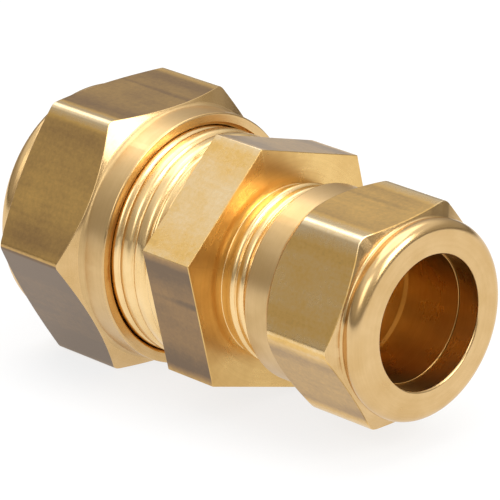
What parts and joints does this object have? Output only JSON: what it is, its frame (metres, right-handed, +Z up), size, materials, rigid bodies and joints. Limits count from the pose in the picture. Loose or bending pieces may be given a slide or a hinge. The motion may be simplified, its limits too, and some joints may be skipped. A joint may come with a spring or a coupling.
{
  "type": "compression coupling",
  "caption": "Brass reducing compression coupling: hexagon body with threaded spigots, a compression nut on each end and an olive inside each nut.",
  "frame": {"origin": "on the surface that the coupling lies on, below the middle of its length and of its width", "axes": "+X along the pipe axis towards the small end, +Z up"},
  "size_m": [0.0548, 0.0344, 0.0304],
  "materials": {
    "body_brass": "turned and drawn bar, bright",
    "nut_brass": "turned ends, brushed flats",
    "olive_brass": "smooth turned"
  },
  "bodies": {
    "body": {"coupling_body": "body_brass"},
    "large_olive": {"large_olive": "olive_brass"},
    "large_nut": {"large_nut": "nut_brass"},
    "small_olive": {"small_olive": "olive_brass"},
    "small_nut": {"small_nut": "nut_brass"}
  },
  "joints": [
    {"name": "large_nut_travel", "type": "slide", "parent": "body", "child": "large_olive", "axis": [-1, 0, 0], "range_m": [0, 0.0066]},
    {"name": "large_nut_turn", "type": "hinge", "parent": "large_olive", "child": "large_nut", "pos_m": [-0.0274, 0, 0.01519], "axis": [-1, 0, 0], "range_deg": [0, 1080]},
    {"name": "small_nut_travel", "type": "slide", "parent": "body", "child": "small_olive", "axis": [1, 0, 0], "range_m": [0, 0.0064]},
    {"name": "small_nut_turn", "type": "hinge", "parent": "small_olive", "child": "small_nut", "pos_m": [0.0274, 0, 0.01519], "axis": [1, 0, 0], "range_deg": [0, 1440]}
  ],
  "couplings": [
    {"joint": "large_nut_travel", "follows": "large_nut_turn", "m_per_rad": 0.00035014},
    {"joint": "small_nut_travel", "follows": "small_nut_turn", "m_per_rad": 0.00025465}
  ]
}
